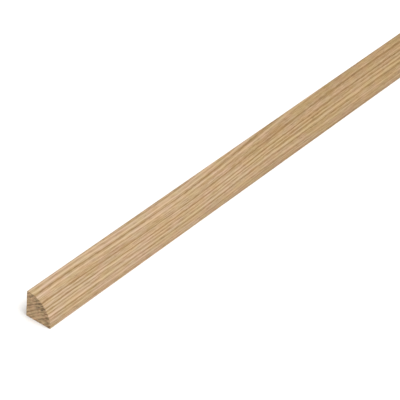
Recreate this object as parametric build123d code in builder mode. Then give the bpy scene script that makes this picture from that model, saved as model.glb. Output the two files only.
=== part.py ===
# Quarter round moulding: one bare oak stick, planed to its section and sawn square at both ends.
# It lies on one flat face, with the other flat face upright at the back.
# X runs along the length, +Y points out of the back face and +Z up.
# The origin is the centre of the footprint, on the level that the stick lies on.
# Sizes are in millimetres.
from build123d import *
import os

# Driving dimensions
stock_length = 900.0  # a short length that such stock is sold in
leg_width = 18.0  # each of the two equal flat faces, before its arrises are eased
land_width = 1.0  # narrow flat between the round and the outer edge of each flat face
square_arris_ease = 0.35  # sanded radius where the two flat faces meet
land_arris_ease = 0.25  # sanded radius at the outer edge of each flat face

# Places that follow from the sizes
near_end = -stock_length / 2
back_face = leg_width / 2
toe_face = -leg_width / 2
round_radius = leg_width - land_width
round_centre = (toe_face + round_radius, leg_width - round_radius)

# The section lies in Y and Z at the near end, and its normal points along the length
section_plane = Plane(origin=(near_end, 0, 0), x_dir=(0, 1, 0), z_dir=(1, 0, 0))

with BuildPart() as moulding:
    with BuildSketch(section_plane) as section:
        with BuildLine():
            bottom = Line((back_face, 0), (toe_face, 0))
            toe_land = Line(bottom @ 1, (toe_face, land_width))
            planed_round = CenterArc(round_centre, round_radius, 180, -90)
            top_land = Line(planed_round @ 1, (back_face, leg_width))
            back = Line(top_land @ 1, bottom @ 0)
        make_face()
    extrude(amount=stock_length)

    # The cutters leave sharp arrises, and a light pass of sandpaper along the stick eases them
    long_edges = moulding.edges().filter_by(Axis.X)
    bottom_edges = long_edges.group_by(Axis.Z)[0].sort_by(Axis.Y)
    toe_arris = bottom_edges[0]
    square_arris = bottom_edges[-1]
    top_arris = long_edges.group_by(Axis.Z)[-1].sort_by(Axis.Y)[-1]
    fillet(square_arris, square_arris_ease)
    fillet([toe_arris, top_arris], land_arris_ease)

moulding.part.label = "quarter_round_moulding"

os.makedirs("parts", exist_ok=True)
export_step(moulding.part, "parts/quarter_round_moulding.step")
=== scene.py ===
# A stick of bare oak quarter round moulding, lying on a pale studio floor.
import math
import bmesh
import bpy
from mathutils import Matrix, Vector


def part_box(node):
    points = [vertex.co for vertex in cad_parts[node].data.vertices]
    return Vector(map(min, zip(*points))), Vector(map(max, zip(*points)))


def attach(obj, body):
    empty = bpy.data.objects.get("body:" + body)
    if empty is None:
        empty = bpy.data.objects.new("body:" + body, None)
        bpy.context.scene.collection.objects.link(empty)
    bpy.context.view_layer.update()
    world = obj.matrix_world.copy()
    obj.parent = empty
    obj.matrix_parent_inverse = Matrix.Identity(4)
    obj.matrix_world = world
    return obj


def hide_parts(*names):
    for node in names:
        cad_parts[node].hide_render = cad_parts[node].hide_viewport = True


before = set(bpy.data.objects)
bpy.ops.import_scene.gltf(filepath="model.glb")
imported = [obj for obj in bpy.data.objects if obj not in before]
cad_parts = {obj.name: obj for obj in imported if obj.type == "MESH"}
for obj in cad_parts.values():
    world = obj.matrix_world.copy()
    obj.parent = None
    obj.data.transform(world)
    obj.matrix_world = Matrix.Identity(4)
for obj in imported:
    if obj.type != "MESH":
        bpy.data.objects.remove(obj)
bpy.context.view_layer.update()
bpy.ops.object.select_all(action="DESELECT")

# Quarter round moulding, the stick
# It is one piece of solid oak. A square blank runs over the cutters of a moulder, which leave a round
# between two narrow lands, and a light pass of sandpaper then eases its three long arrises.
mm = 0.001
tolerance = 0.001 * mm
stick_low, stick_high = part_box("quarter_round_moulding")
stick_size = stick_high - stick_low
leg_width = stick_size.z
land_width = 1.0 * mm
round_radius = leg_width - land_width
square_arris_ease = 0.35 * mm
land_arris_ease = 0.25 * mm
round_steps, arris_steps, flat_steps = 64, 3, 44
even_round = 0.5  # the bevel's profile that gives a true arc

bpy.ops.mesh.primitive_cube_add(size=1, location=(stick_low + stick_high) / 2, scale=stick_size)
stick = bpy.context.object
stick.name = stick.data.name = "oak_quarter_round"
bpy.ops.object.transform_apply(location=True, rotation=True, scale=True)


def pick_edges(test):
    """Selects, in edit mode, just the edges whose two ends pass a test."""
    bpy.ops.mesh.select_all(action="DESELECT")
    bpy.ops.mesh.select_mode(type="EDGE")
    mesh = bmesh.from_edit_mesh(stick.data)
    for edge in mesh.edges:
        if test(edge.verts[0].co, edge.verts[1].co):
            edge.select_set(True)
    bmesh.update_edit_mesh(stick.data)


def on_line(a, b, y, z):
    """True for an edge that runs along the stick at that place in its section."""
    level = abs(a.y - b.y) < tolerance and abs(a.z - b.z) < tolerance
    return level and abs(a.y - y) < tolerance and abs(a.z - z) < tolerance


def on_a_land_arris(a, b):
    """True for the long edge at the foot of the round and the one at the top of the back."""
    return on_line(a, b, stick_low.y, stick_low.z) or on_line(a, b, stick_high.y, stick_high.z)


def across_a_flat(a, b):
    """True for the two short edges of the bottom face and of the back face."""
    wide = (a - b).length > leg_width / 2 and abs(a.x - b.x) < tolerance
    return wide and (max(a.z, b.z) < tolerance or min(a.y, b.y) > stick_high.y - tolerance)


bpy.ops.object.mode_set(mode="EDIT")
pick_edges(lambda a, b: on_line(a, b, stick_low.y, stick_high.z))
bpy.ops.mesh.bevel(offset=round_radius, segments=round_steps, profile=even_round, affect="EDGES")
pick_edges(lambda a, b: on_line(a, b, stick_high.y, stick_low.z))
bpy.ops.mesh.bevel(offset=square_arris_ease, segments=arris_steps, profile=even_round, affect="EDGES")
pick_edges(on_a_land_arris)
bpy.ops.mesh.bevel(offset=land_arris_ease, segments=arris_steps, profile=even_round, affect="EDGES")
pick_edges(across_a_flat)
bpy.ops.mesh.subdivide(number_cuts=flat_steps - 1)

# The sawn ends
# A fine circular saw crosses the stick square to its length and leaves two flat ends of cut fibres.
# Each end is divided into small squares, and closer rows beside it leave room for the saw's torn chips.
end_rim = 0.15 * mm
end_pitch = 0.36 * mm
end_facing = 0.9  # least share of a normal that points along the stick, on an end
chip_reach = 1.4 * mm
chip_rows = (0.35 * mm, 0.80 * mm, chip_reach)
coarse_steps, fine_steps = 18, 20


def pick_ends():
    """Selects, in edit mode, the faces of the two sawn ends."""
    bpy.ops.mesh.select_all(action="DESELECT")
    bpy.ops.mesh.select_mode(type="FACE")
    mesh = bmesh.from_edit_mesh(stick.data)
    for face in mesh.faces:
        if abs(face.normal.x) > end_facing:
            face.select_set(True)
    bmesh.update_edit_mesh(stick.data)


pick_ends()
bpy.ops.mesh.inset(thickness=end_rim)
end_cuts = int(leg_width / end_pitch)
for step in range(1, end_cuts):
    for axis, start in ((1, stick_low.y), (2, stick_low.z)):
        cut_place, cut_normal = Vector((0, 0, 0)), Vector((0, 0, 0))
        cut_place[axis] = start + step * leg_width / end_cuts
        cut_normal[axis] = 1
        pick_ends()
        bpy.ops.mesh.bisect(plane_co=cut_place, plane_no=cut_normal)

# The length is divided in two goes, because one go makes no more than 100 cuts
for steps in (coarse_steps, fine_steps):
    pick_edges(lambda a, b: abs(a.x - b.x) > tolerance)
    bpy.ops.mesh.subdivide(number_cuts=steps - 1)
for end_place, inwards in ((stick_low.x, 1), (stick_high.x, -1)):
    for row in chip_rows:
        bpy.ops.mesh.select_all(action="SELECT")
        bpy.ops.mesh.bisect(plane_co=(end_place + inwards * row, 0, 0), plane_no=(1, 0, 0))
bpy.ops.object.mode_set(mode="OBJECT")

# How the oak grew
# One recipe of growth rings fills the whole stick, as it filled the plank that the stick was sawn from.
# The sanded relief and the wood of faces and ends all read it, so a ring on an end runs on along a face.
# Places and sizes of all patterns are in plain millimetres, from the middle of the stick's bottom face.
ring_tilt = math.radians(37)  # from upright towards the back: the way that the rings were laid down
pith_distance = 120.0  # from the middle of the bottom face back to the pith

# Each year's ring: how far out along the ring tilt its dark spring band lies,
# the tone of that band and the tone of the summer wood after it, from 0 (palest) to 1 (dark)
rings = (
    (-5.7, 0.78, 0.40), (-3.8, 0.80, 0.52), (-2.5, 0.80, 0.10), (-0.4, 0.74, 0.26), (1.4, 0.96, 0.00),
    (3.85, 0.92, 0.17), (5.5, 0.92, 0.14), (7.35, 1.08, 0.23), (9.3, 0.70, 0.50), (10.65, 1.08, 0.42),
    (12.5, 0.77, 0.40), (13.8, 0.77, 0.02), (15.4, 0.70, 0.84), (16.0, 1.00, 0.00), (18.1, 0.72, 0.00),
    (19.6, 0.72, 0.10),
)
summer_share = 0.55  # of the way to the next ring: where the summer wood is palest
middle_tone, ring_contrast = 0.5, 0.80

# Near the shown end the rings start a little high, dip and rise again, the outer ones more than the inner
dip_start, dip_bottom, dip_rise, dip_end = -425.0, -350.0, -325.0, -205.0
dip_lead, dip_size = -0.3, 0.6
dip_inner, dip_outer, dip_inner_share = 6.0, 11.0, 0.3

# Where each climb of the rings starts and ends, and how far it moves them out.
# They climb round a bend in the stem, then a little more, and come gently back in the far half
climbs = ((-326.0, -225.0, 2.35), (-215.0, -80.0, 0.75), (20.0, 330.0, -4.2))

# From the bend on they are a fifth wider
widening_start, widening_end, widening = -260.0, -150.0, 0.2

# They also sway: how much longer than wide a sway is, how many fill a millimetre, and how far it goes
sway_stretch, sway_scale, sway_size = 90.0, 0.12, 0.6


def wire(tree, kind, sockets=None, **settings):
    """Adds a node, with its settings, and feeds each socket a link or a plain value."""
    node = tree.nodes.new(kind)
    for name, value in settings.items():
        setattr(node, name, value)
    for name, source in (sockets or {}).items():
        if isinstance(source, bpy.types.NodeSocket):
            tree.links.new(source, node.inputs[name])
        else:
            node.inputs[name].default_value = source
    return node


def calc(tree, operation, *terms):
    """The result of a sum on links and plain numbers."""
    return wire(tree, "ShaderNodeMath", dict(enumerate(terms)), operation=operation).outputs[0]


def ramp_up(tree, value, low, high, to_low=0.0, to_high=1.0):
    """Runs smoothly from one level to another while a value passes from low to high."""
    levels = {"Value": value, "From Min": low, "From Max": high, "To Min": to_low, "To Max": to_high}
    return wire(tree, "ShaderNodeMapRange", levels, interpolation_type="SMOOTHSTEP").outputs[0]


def vary(tree, level, noise, strength):
    """Lifts and lowers a level by noise, whose middle is 0.5."""
    return calc(tree, "MULTIPLY_ADD", calc(tree, "SUBTRACT", noise, 0.5), strength, level)


def distance(tree, first, second):
    """How far off a place is, from how far off it is in each of two square directions."""
    square = calc(tree, "MULTIPLY", second, second)
    return calc(tree, "SQRT", calc(tree, "MULTIPLY_ADD", first, first, square))


def in_millimetres(tree, position):
    """How far a place lies along the stick, across it and up."""
    place = wire(tree, "ShaderNodeVectorMath", {0: position, 1: (1 / mm,) * 3}, operation="MULTIPLY")
    return wire(tree, "ShaderNodeSeparateXYZ", {0: place.outputs[0]}).outputs


def grain_space(tree, position):
    """Where a place lies in the stem: how far along it, how far outwards and how far round."""
    along, across, up = in_millimetres(tree, position)
    tilt_y, tilt_z = math.sin(ring_tilt), math.cos(ring_tilt)
    out_y = calc(tree, "ADD", across, pith_distance * tilt_y)
    out_z = calc(tree, "ADD", up, pith_distance * tilt_z)
    out = calc(tree, "SUBTRACT", distance(tree, out_y, out_z), pith_distance)
    dip_down = ramp_up(tree, along, dip_start, dip_bottom, dip_lead, dip_size)
    dip = calc(tree, "SUBTRACT", dip_down, ramp_up(tree, along, dip_rise, dip_end, 0.0, dip_size))
    dip_share = ramp_up(tree, out, dip_inner, dip_outer, dip_inner_share, 1.0)
    out = calc(tree, "MULTIPLY_ADD", dip, dip_share, out)
    for start, end, climb in climbs:
        out = calc(tree, "SUBTRACT", out, ramp_up(tree, along, start, end, 0.0, climb))
    out = calc(tree, "DIVIDE", out, ramp_up(tree, along, widening_start, widening_end, 1.0, 1.0 + widening))
    slow = calc(tree, "DIVIDE", along, sway_stretch)
    place = wire(tree, "ShaderNodeCombineXYZ", {0: slow, 1: across, 2: up}).outputs[0]
    sway = wire(tree, "ShaderNodeTexNoise", {"Vector": place, "Scale": sway_scale, "Detail": 1.0})
    out = vary(tree, out, sway.outputs[0], sway_size)
    turned_back = calc(tree, "MULTIPLY", across, tilt_z)
    around = calc(tree, "SUBTRACT", calc(tree, "MULTIPLY", up, tilt_y), turned_back)
    return along, out, around


def ring_tone(tree, grain, contrast=ring_contrast):
    """How dark the rings make the wood: most in the spring bands, least in the pale summer wood."""
    first, last = rings[0][0], rings[-1][0]
    share = wire(tree, "ShaderNodeMapRange", {"Value": grain[1], "From Min": first, "From Max": last})
    ramp = wire(tree, "ShaderNodeValToRGB", {0: share.outputs[0]})
    ramp.color_ramp.interpolation = "LINEAR"
    stops = []
    for (inner, spring, summer), (outer, _, _) in zip(rings, rings[1:]):
        stops += [(inner, spring), (inner + summer_share * (outer - inner), summer)]
    stops.append((last, rings[-1][1]))
    marks = ramp.color_ramp.elements
    for place, tone in stops[1:-1]:
        marks.new((place - first) / (last - first))
    for mark, (place, tone) in zip(marks, stops):
        mark.position = (place - first) / (last - first)
        mark.color = (tone, tone, tone, 1)
    swing = calc(tree, "MULTIPLY_ADD", ramp.outputs[0], 2.0, -1.0)
    crisp = calc(tree, "MULTIPLY", swing, calc(tree, "ABSOLUTE", swing))
    return calc(tree, "MULTIPLY_ADD", crisp, contrast, middle_tone)


# The sanded and sawn skin of the oak
# Sandpaper wears the soft spring wood a little lower than the hard summer wood beside it.
# The saw leaves shallow arcs on the ends, and tears small chips from the bottom edge, where its teeth leave.
sanded_depth = 0.045 * mm
saw_centre = (70.0, 118.0)  # across and up from the middle of the bottom face
saw_mark_pitch, saw_mark_depth = 1.1, 0.035 * mm
chip_pitch, chip_height, chip_depth = 0.9, 0.8, 0.30 * mm
chip_lift = 0.8  # how far a chip reaches up into the wood for each millimetre that it reaches in
whole_level, torn_level = 0.50, 0.72  # of the noise along the edge, which is whole below and torn above
smooth_angle = math.radians(35)


def push(tree, way, depth):
    """A move that way, as far as the depth says."""
    return wire(tree, "ShaderNodeVectorMath", {0: way, "Scale": depth}, operation="SCALE").outputs[0]


def line_noise(tree, place, pitch, detail):
    """Noise along one line, with a grain size in millimetres."""
    sockets = {"W": place, "Scale": 1 / pitch, "Detail": detail}
    return wire(tree, "ShaderNodeTexNoise", sockets, noise_dimensions="1D").outputs[0]


def saw_arcs(tree, position):
    """The ridges that the saw's teeth leave, from 0 to 1, on arcs about the saw's own centre."""
    _, across, up = in_millimetres(tree, position)
    side = calc(tree, "SUBTRACT", across, saw_centre[0])
    rise = calc(tree, "SUBTRACT", up, saw_centre[1])
    return line_noise(tree, distance(tree, side, rise), saw_mark_pitch, detail=3.0)


def torn_chips(tree, position):
    """How far the saw tears the wood away, from 0 to 1, along the bottom edge of each end."""
    along, across, up = in_millimetres(tree, position)
    unlike_ends = calc(tree, "ADD", across, calc(tree, "SIGN", along))
    torn = ramp_up(tree, line_noise(tree, unlike_ends, chip_pitch, detail=2.0), whole_level, torn_level)
    end_place = stick_high.x / mm
    near_end = ramp_up(tree, calc(tree, "ABSOLUTE", along), end_place - chip_reach / mm, end_place)
    near_edge = ramp_up(tree, up, chip_height, 0.0)
    return calc(tree, "MULTIPLY", calc(tree, "MULTIPLY", torn, near_end), near_edge)


relief = bpy.data.node_groups.new("sanded_and_sawn_relief", "GeometryNodeTree")
for way in ("INPUT", "OUTPUT"):
    relief.interface.new_socket("Geometry", in_out=way, socket_type="NodeSocketGeometry")
surface = wire(relief, "GeometryNodeInputPosition").outputs[0]
normal = wire(relief, "GeometryNodeInputNormal").outputs[0]
along = wire(relief, "ShaderNodeSeparateXYZ", {0: surface}).outputs[0]
which_end = calc(relief, "SIGN", along)
at_end = calc(relief, "GREATER_THAN", calc(relief, "ABSOLUTE", along), stick_high.x - tolerance)

softness = calc(relief, "MAXIMUM", ring_tone(relief, grain_space(relief, surface)), 0.0)
sanded = calc(relief, "MULTIPLY", softness, sanded_depth)
sawn = calc(relief, "MULTIPLY_ADD", saw_arcs(relief, surface), saw_mark_depth, sanded)
depth = wire(relief, "GeometryNodeSwitch", {"Switch": at_end, "False": sanded, "True": sawn},
             input_type="FLOAT").outputs[0]
end_way = wire(relief, "ShaderNodeCombineXYZ", {0: which_end}).outputs[0]
outwards = wire(relief, "GeometryNodeSwitch", {"Switch": at_end, "False": normal, "True": end_way},
                input_type="VECTOR").outputs[0]
worn_away = push(relief, outwards, calc(relief, "MULTIPLY", depth, -1.0))

chip = calc(relief, "MULTIPLY", torn_chips(relief, surface), chip_depth)
chip_way = wire(relief, "ShaderNodeCombineXYZ", {0: calc(relief, "MULTIPLY", which_end, -1.0), 2: chip_lift})
torn_away = push(relief, chip_way.outputs[0], chip)

lost = wire(relief, "ShaderNodeVectorMath", {0: worn_away, 1: torn_away}, operation="ADD")
fresh = wire(relief, "NodeGroupInput").outputs[0]
worn = wire(relief, "GeometryNodeSetPosition", {"Geometry": fresh, "Offset": lost.outputs[0]})
wire(relief, "NodeGroupOutput", {0: worn.outputs[0]})

stick.select_set(True)
bpy.context.view_layer.objects.active = stick
modifier = stick.modifiers.new("sanded_and_sawn", "NODES")
modifier.node_group = relief
bpy.ops.object.modifier_apply(modifier=modifier.name)
bpy.ops.object.shade_smooth_by_angle(angle=smooth_angle)

# Bare oak on the planed faces
# Pale straw summer wood between tan spring bands, with fine darker fibres and short open pores.
# The wood grows darker and yellower along the stick, towards the far end, and drifts here and there towards
# pink or straw.
summer_colour = (0.519, 0.374, 0.243)
spring_colour = (0.288, 0.178, 0.076)
pore_colour = (0.178, 0.105, 0.046)
pink_cast, straw_cast = (1.025, 0.985, 0.975), (0.98, 1.005, 0.95)
honey_cast, ashen_cast = (1.0, 1.0, 0.93), (1.0, 1.0, 1.07)
first_cast_level, second_cast_level = 0.35, 0.65  # of the noise that leads from one cast to the other
# How much darker and yellower the wood is at the far end, and where along the stick that change starts and
# ends
far_end_cast = (0.838, 0.800, 0.672)
far_change_start, far_change_end = -430.0, -70.0
near_contrast, far_contrast = 0.94, 0.63

# Flecks in the wood: their sizes along the stem, outwards and round it, and how strongly they show.
# The last two are the patches in which the wood drifts from one cast to another
fibre_size, fibre_strength = (60.0, 0.50, 0.50), 1.3
streak_size, streak_strength = (110.0, 0.75, 0.75), 1.1
thread_size, thread_strength = (7.0, 0.38, 0.38), 1.6
hair_size, hair_strength = (9.0, 0.11, 0.11), 0.9
pink_patch_size, honey_patch_size = (12.0, 5.0, 5.0), (14.0, 4.0, 4.0)

# Open pores: their spacing along the stem, outwards and round it, and how unevenly they lie.
# From summer wood to spring wood they grow from small to large, as a share of that spacing.
# Their edges are frayed, their sides slope from rim to floor, and by chance some are fainter than others
pore_spacing, pore_scatter = (7.0, 0.30, 0.30), 0.95
summer_tone, spring_tone = 0.20, 0.85
small_pore, large_pore = 0.10, 0.38
fray_size, fray_strength = (1.6, 0.12, 0.12), 0.35
pore_rim, pore_floor = -0.02, 0.06
faint_pore, faint_chance, full_chance = 0.45, 0.1, 0.9
pore_darkness = 0.70

planed_roughness, added_pore_roughness = 0.58, 0.25
planed_gloss = 0.35
pore_depth, fibre_height, planed_bump = 0.08 * mm, 0.15, 0.6

# The mixing node's own numbers for its share, its two colours and the colour that it gives
mix_share, mix_first, mix_second, mix_result = 0, 6, 7, 2


def stretched_noise(tree, grain, sizes, detail, seed=0.0):
    """Noise with a grain size, in millimetres, along the stem, outwards and round it."""
    scaled = [calc(tree, "MULTIPLY_ADD", value, 1 / size, seed) for value, size in zip(grain, sizes)]
    place = wire(tree, "ShaderNodeCombineXYZ", dict(enumerate(scaled))).outputs[0]
    return wire(tree, "ShaderNodeTexNoise", {"Vector": place, "Scale": 1.0, "Detail": detail}).outputs[0]


def open_pores(tree, grain, tone):
    """1 in a pore and 0 in sound wood: the pores crowd into the spring bands, and some are fainter."""
    spaced = [calc(tree, "DIVIDE", value, spacing) for value, spacing in zip(grain, pore_spacing)]
    place = wire(tree, "ShaderNodeCombineXYZ", dict(enumerate(spaced))).outputs[0]
    cells = wire(tree, "ShaderNodeTexVoronoi", {"Vector": place, "Scale": 1.0, "Randomness": pore_scatter})
    reach = ramp_up(tree, tone, summer_tone, spring_tone, small_pore, large_pore)
    frayed = stretched_noise(tree, grain, fray_size, detail=1.0, seed=71.0)
    reach = vary(tree, reach, frayed, fray_strength)
    inside = ramp_up(tree, calc(tree, "SUBTRACT", reach, cells.outputs["Distance"]), pore_rim, pore_floor)
    openness = ramp_up(tree, cells.outputs["Color"], faint_chance, full_chance, faint_pore, 1.0)
    return calc(tree, "MULTIPLY", inside, openness)


def colour_mix(tree, share, first, second, blend="MIX"):
    """Lays a share of the second colour over the first. Each is a link or a plain colour."""
    sockets = {mix_share: share}
    for socket, source in ((mix_first, first), (mix_second, second)):
        sockets[socket] = source if isinstance(source, bpy.types.NodeSocket) else (*source, 1)
    return wire(tree, "ShaderNodeMix", sockets, data_type="RGBA", blend_type=blend).outputs[mix_result]


def drift(tree, wood, patches, first_cast, second_cast):
    """Tints the wood, and lets the tint drift between two casts from patch to patch."""
    share = ramp_up(tree, patches, first_cast_level, second_cast_level)
    return colour_mix(tree, 1.0, wood, colour_mix(tree, share, first_cast, second_cast), "MULTIPLY")


def oak(name):
    """A new material, its node tree, its shader and the place of each point on the stick."""
    material = bpy.data.materials.new(name)
    material.use_nodes = True
    tree = material.node_tree
    return material, tree, tree.nodes["Principled BSDF"], wire(tree, "ShaderNodeTexCoord").outputs["Object"]


planed, tree, shader, position = oak("bare_oak_planed")
grain = grain_space(tree, position)
contrast = ramp_up(tree, grain[0], far_change_start, far_change_end, near_contrast, far_contrast)
tone = ring_tone(tree, grain, contrast)
pores = open_pores(tree, grain, tone)
fibres = stretched_noise(tree, grain, fibre_size, detail=3.0)
streaks = stretched_noise(tree, grain, streak_size, detail=1.0, seed=25.0)
threads = stretched_noise(tree, grain, thread_size, detail=3.0, seed=19.0)
hairs = stretched_noise(tree, grain, hair_size, detail=2.0, seed=47.0)
flecks = (
    (fibres, fibre_strength), (streaks, streak_strength), (threads, thread_strength), (hairs, hair_strength),
)
for noise, strength in flecks:
    tone = vary(tree, tone, noise, strength)
wood = colour_mix(tree, tone, summer_colour, spring_colour)
wood = colour_mix(tree, calc(tree, "MULTIPLY", pores, pore_darkness), wood, pore_colour)
pink_patches = stretched_noise(tree, grain, pink_patch_size, detail=1.0, seed=31.0)
wood = drift(tree, wood, pink_patches, straw_cast, pink_cast)
honey_patches = stretched_noise(tree, grain, honey_patch_size, detail=1.0, seed=57.0)
wood = drift(tree, wood, honey_patches, honey_cast, ashen_cast)
# Darker and yellower towards the far end
far_end_share = ramp_up(tree, grain[0], far_change_start, far_change_end)
wood = colour_mix(tree, far_end_share, wood, far_end_cast, "MULTIPLY")
tree.links.new(wood, shader.inputs["Base Color"])
roughness = calc(tree, "MULTIPLY_ADD", pores, added_pore_roughness, planed_roughness)
tree.links.new(roughness, shader.inputs["Roughness"])
shader.inputs["Specular IOR Level"].default_value = planed_gloss
height = calc(tree, "MULTIPLY_ADD", fibres, fibre_height, calc(tree, "SUBTRACT", 1.0, pores))
bump = wire(tree, "ShaderNodeBump", {"Height": height, "Distance": pore_depth, "Strength": planed_bump})
tree.links.new(bump.outputs[0], shader.inputs["Normal"])
stick.data.materials.append(planed)

# Bare oak on the sawn ends
# Cut fibres drink the light, so the same wood looks darker and browner, and its pores are round pits.
# The ends are grubby towards the round, and the saw leaves fine scratches on the arcs of its teeth.
end_summer_colour = (0.540, 0.368, 0.218)
end_spring_colour = (0.262, 0.170, 0.088)
end_pore_colour = (0.080, 0.050, 0.025)
end_pore_darkness = 0.75
end_pink_cast, end_olive_cast = (1.04, 0.975, 0.95), (0.98, 1.01, 0.95)
end_cast_size = (26.0, 2.6, 3.0)
patch_size, patch_strength = (30.0, 1.1, 2.6), 1.9
ray_size, ray_paleness = (40.0, 16.0, 0.32), 0.5
ray_level, full_ray_level = 0.60, 0.72  # of the rays' noise: where a ray starts to show, and shows in full

# Dirty pores on the end that the photo shows: the ring that they lie on, their place round the pith
# and their half length, in millimetres, and how dark they are
dirty_pores = (
    (16.0, 6.5, 1.3, 0.60), (14.0, 7.1, 0.9, 0.60), (12.7, 7.9, 1.2, 0.40), (10.7, 7.4, 2.4, 0.72),
    (10.6, 0.2, 3.0, 0.60), (9.0, 9.4, 1.1, 0.95), (8.4, 5.6, 1.9, 1.00), (6.6, 7.9, 1.2, 1.00),
    (6.9, 10.5, 1.2, 0.70), (3.1, 7.7, 1.0, 0.40), (1.2, 4.8, 4.0, 0.42), (-0.95, 7.6, 0.7, 0.60),
)
dirty_width = 0.60
dirty_colour = (0.145, 0.103, 0.060)
dirt_rim, dirt_middle = 1.6, 0.2  # squares of the distance, which is 1 at the end of the half length
speck_size, speck_strength = (30.0, 0.30, 0.55), 4.0
thin_dirt, thick_dirt = 0.5, 0.9
thin_dirt_level, thick_dirt_level = 0.25, 0.55  # of the patches' noise

# Grubbiness: how far from the round's centre, and at what level of the patches' noise, it starts and is full
round_centre = ((stick_high.y - land_width) / mm, (stick_low.z + land_width) / mm)
grubby_start, grubby_end = 9.0, 16.5
clean_level, grubby_level = 0.36, 0.62
grubby_cast = (0.66, 0.66, 0.62)

sawn_roughness, sawn_gloss = 0.82, 0.25
scratch_depth, scratch_height, sawn_bump = 0.05 * mm, 0.6, 0.8
sawn_facing = 0.7  # least share of a normal that points along the stick, on a face of sawn wood

sawn_end, tree, shader, position = oak("bare_oak_sawn")
grain = grain_space(tree, position)
tone = ring_tone(tree, grain)
pores = open_pores(tree, grain, tone)
patches = stretched_noise(tree, grain, patch_size, detail=3.0, seed=11.0)
wood = colour_mix(tree, vary(tree, tone, patches, patch_strength), end_summer_colour, end_spring_colour)
rays = stretched_noise(tree, grain, ray_size, detail=1.0, seed=3.0)
paleness = ramp_up(tree, rays, ray_level, full_ray_level, 0.0, ray_paleness)
wood = colour_mix(tree, paleness, wood, summer_colour)
wood = colour_mix(tree, calc(tree, "MULTIPLY", pores, end_pore_darkness), wood, end_pore_colour)
casts = stretched_noise(tree, grain, end_cast_size, detail=1.0, seed=43.0)
wood = drift(tree, wood, casts, end_olive_cast, end_pink_cast)

specks = stretched_noise(tree, grain, speck_size, detail=3.0, seed=83.0)
dirt = 0.0
for ring_place, round_place, half_length, darkness in dirty_pores:
    out = calc(tree, "DIVIDE", calc(tree, "SUBTRACT", grain[1], ring_place), dirty_width)
    side = calc(tree, "DIVIDE", calc(tree, "SUBTRACT", grain[2], round_place), half_length)
    away = calc(tree, "MULTIPLY_ADD", out, out, calc(tree, "MULTIPLY", side, side))
    away = vary(tree, away, specks, speck_strength)
    dirt = calc(tree, "MAXIMUM", dirt, ramp_up(tree, away, dirt_rim, dirt_middle, 0.0, darkness))
on_shown_end = calc(tree, "LESS_THAN", grain[0], 0.0)
thickness = ramp_up(tree, patches, thin_dirt_level, thick_dirt_level, thin_dirt, thick_dirt)
dirt = calc(tree, "MULTIPLY", calc(tree, "MULTIPLY", dirt, on_shown_end), thickness)
wood = colour_mix(tree, dirt, wood, dirty_colour)

_, across, up = in_millimetres(tree, position)
side = calc(tree, "SUBTRACT", across, round_centre[0])
rise = calc(tree, "SUBTRACT", up, round_centre[1])
near_round = ramp_up(tree, distance(tree, side, rise), grubby_start, grubby_end)
grubby = calc(tree, "MULTIPLY", near_round, ramp_up(tree, patches, clean_level, grubby_level))
wood = colour_mix(tree, grubby, wood, grubby_cast, "MULTIPLY")
tree.links.new(wood, shader.inputs["Base Color"])
shader.inputs["Roughness"].default_value = sawn_roughness
shader.inputs["Specular IOR Level"].default_value = sawn_gloss
scratches = saw_arcs(tree, position)
height = calc(tree, "MULTIPLY_ADD", scratches, scratch_height, calc(tree, "SUBTRACT", 1.0, pores))
bump = wire(tree, "ShaderNodeBump", {"Height": height, "Distance": scratch_depth, "Strength": sawn_bump})
tree.links.new(bump.outputs[0], shader.inputs["Normal"])
stick.data.materials.append(sawn_end)
for face in stick.data.polygons:
    face.material_index = int(abs(face.normal.x) > sawn_facing)

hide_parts("quarter_round_moulding")
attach(stick, "root")

# The studio
# The stick lies on a wide white table under one large soft light, with pale light from all round.
floor_size = 12.0
floor_gap = 0.05 * mm
floor_colour = (0.93, 0.93, 0.925)
floor_roughness, floor_gloss = 0.9, 0.1
room_brightness = 0.78
softbox_place = Vector((-0.3, -1.6, 3.4))
softbox_size, softbox_power = 2.6, 108.0

bpy.ops.mesh.primitive_plane_add(size=floor_size, location=(0, 0, -floor_gap))
table = bpy.context.object
table.name = "pale_table"
white = bpy.data.materials.new("pale_table_top")
white.use_nodes = True
white_shader = white.node_tree.nodes["Principled BSDF"]
white_shader.inputs["Base Color"].default_value = (*floor_colour, 1)
white_shader.inputs["Roughness"].default_value = floor_roughness
white_shader.inputs["Specular IOR Level"].default_value = floor_gloss
table.data.materials.append(white)

room = bpy.data.worlds.new("pale_room")
room.use_nodes = True
room_light = room.node_tree.nodes["Background"]
room_light.inputs["Color"].default_value = (1.0, 1.0, 1.0, 1)
room_light.inputs["Strength"].default_value = room_brightness
bpy.context.scene.world = room

softbox = bpy.data.lights.new("softbox", "AREA")
softbox.shape = "SQUARE"
softbox.size = softbox_size
softbox.energy = softbox_power
softbox_object = bpy.data.objects.new("softbox", softbox)
softbox_object.location = softbox_place
softbox_object.rotation_euler = (-softbox_place).to_track_quat("-Z", "Y").to_euler()
softbox_object.visible_camera = False
bpy.context.scene.collection.objects.link(softbox_object)

# The camera
# It looks down on the near end from the front left, through a long lens, and is tipped a little to one side.
lens_length, film_width = 188.8, 36.0
view_along, view_across = 157.3 * mm, 4.6 * mm  # where it looks, from the near end and from the middle line
view_distance = 1300.4 * mm
view_heading = math.radians(34.42)
view_drop = math.radians(36.10)
view_roll = math.radians(5.44)

look_at = Vector((stick_low.x + view_along, view_across, 0.0))
forward = Vector((math.cos(view_heading) * math.cos(view_drop),
                  math.sin(view_heading) * math.cos(view_drop), -math.sin(view_drop)))
camera = bpy.data.cameras.new("camera")
camera.lens = lens_length
camera.sensor_width = film_width
camera_object = bpy.data.objects.new("camera", camera)
turn = forward.to_track_quat("-Z", "Y").to_matrix() @ Matrix.Rotation(view_roll, 3, "Z")
camera_object.matrix_world = Matrix.Translation(look_at - forward * view_distance) @ turn.to_4x4()
bpy.context.scene.collection.objects.link(camera_object)
bpy.context.scene.camera = camera_object
bpy.context.scene.view_settings.view_transform = "Standard"
